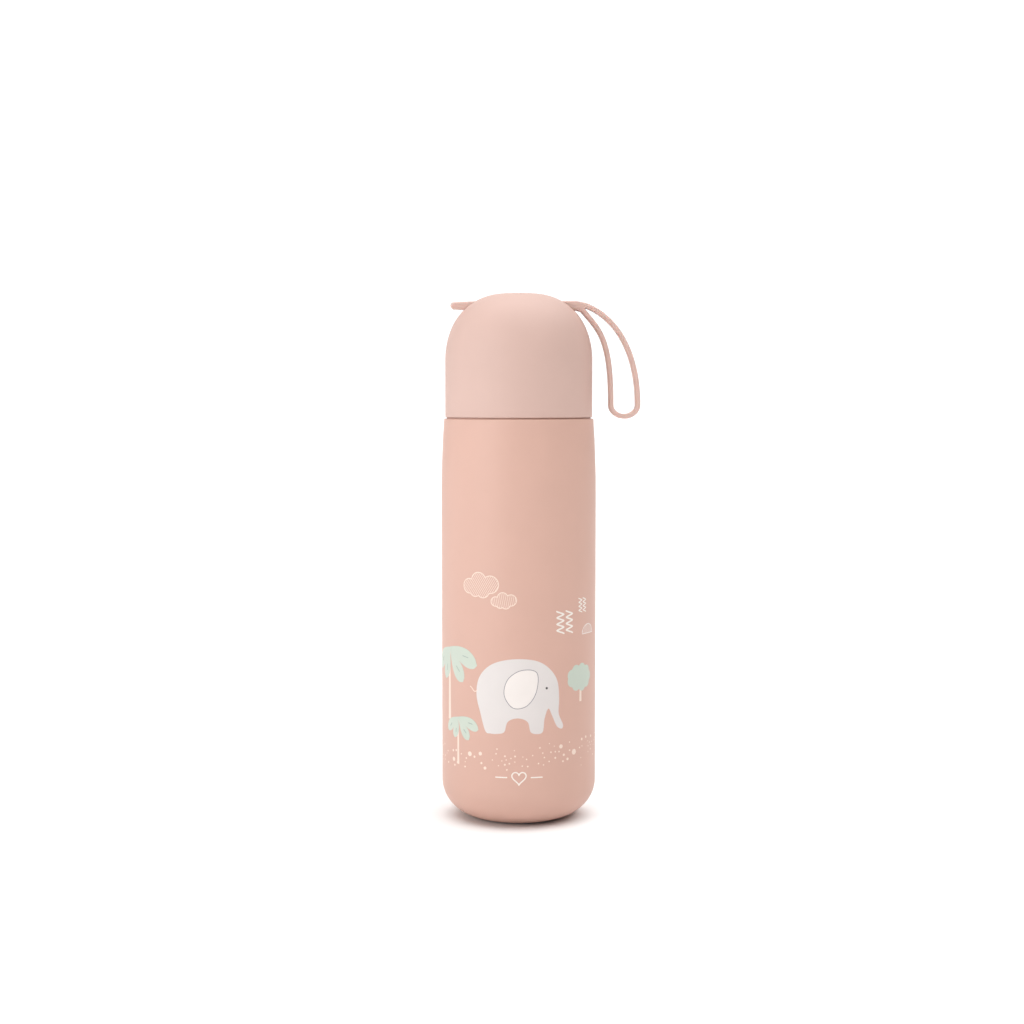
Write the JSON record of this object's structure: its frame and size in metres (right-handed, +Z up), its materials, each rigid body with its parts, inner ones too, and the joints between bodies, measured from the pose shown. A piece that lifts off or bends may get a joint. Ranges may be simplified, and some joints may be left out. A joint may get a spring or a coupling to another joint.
{
  "type": "insulated baby bottle",
  "caption": "Double-walled insulated baby bottle with a push-button stopper, a domed screw-on cup and a moulded carry strap that hangs as a loop.",
  "frame": {"origin": "centre of the base, on the surface the bottle stands on", "axes": "+Z up along the bottle's axis, +X towards the strap's hanging loop"},
  "size_m": [0.0911, 0.071, 0.2407],
  "materials": {
    "body_paint": "satin powder coat",
    "cup_paint": "soft matte paint",
    "strap_silicone": "matte silicone",
    "steel": "brushed",
    "white_plastic": "fine moulded grain",
    "clear_silicone": "smooth silicone",
    "copper_foil": "bright foil",
    "foam": "closed-cell foam",
    "seal_glass": "fused seal"
  },
  "bodies": {
    "bottle": {"outer_shell": "body_paint", "outer_base": "steel", "base_disc": "steel", "vacuum_seal": "seal_glass", "getter": "steel", "inner_vessel": "steel", "inner_base": "steel", "radiation_foil": "copper_foil", "neck_collar": "white_plastic"},
    "stopper": {"stopper_body": "white_plastic", "stopper_base": "white_plastic", "stopper_foam": "foam", "stopper_gasket": "clear_silicone", "stopper_top": "white_plastic", "button_spring": "steel"},
    "button": {"push_button": "cup_paint", "valve_stem": "white_plastic", "valve_seal": "clear_silicone"},
    "cup": {"cup_shell": "cup_paint", "cup_liner": "white_plastic", "strap_pin": "steel", "strap_shank": "strap_silicone"},
    "loop": {"strap_loop": "strap_silicone"}
  },
  "joints": [
    {"name": "stopper_lift", "type": "slide", "parent": "bottle", "child": "stopper", "axis": [0, 0, 1], "range_m": [0, 0.05]},
    {"name": "button_press", "type": "slide", "parent": "stopper", "child": "button", "axis": [0, 0, -1], "range_m": [0, 0.0035], "stiffness_N_per_m": 600, "springref_m": -0.004, "deforming": ["button_spring"]},
    {"name": "cup_lift", "type": "slide", "parent": "stopper", "child": "cup", "axis": [0, 0, 1], "range_m": [0, 0.055]},
    {"name": "strap_flex", "type": "hinge", "parent": "cup", "child": "loop", "pos_m": [0.0276, 0, 0.2352], "axis": [0, -1, 0], "range_deg": [-7, 85], "stiffness_Nm_per_rad": 0.02, "springref_deg": 1.15}
  ]
}
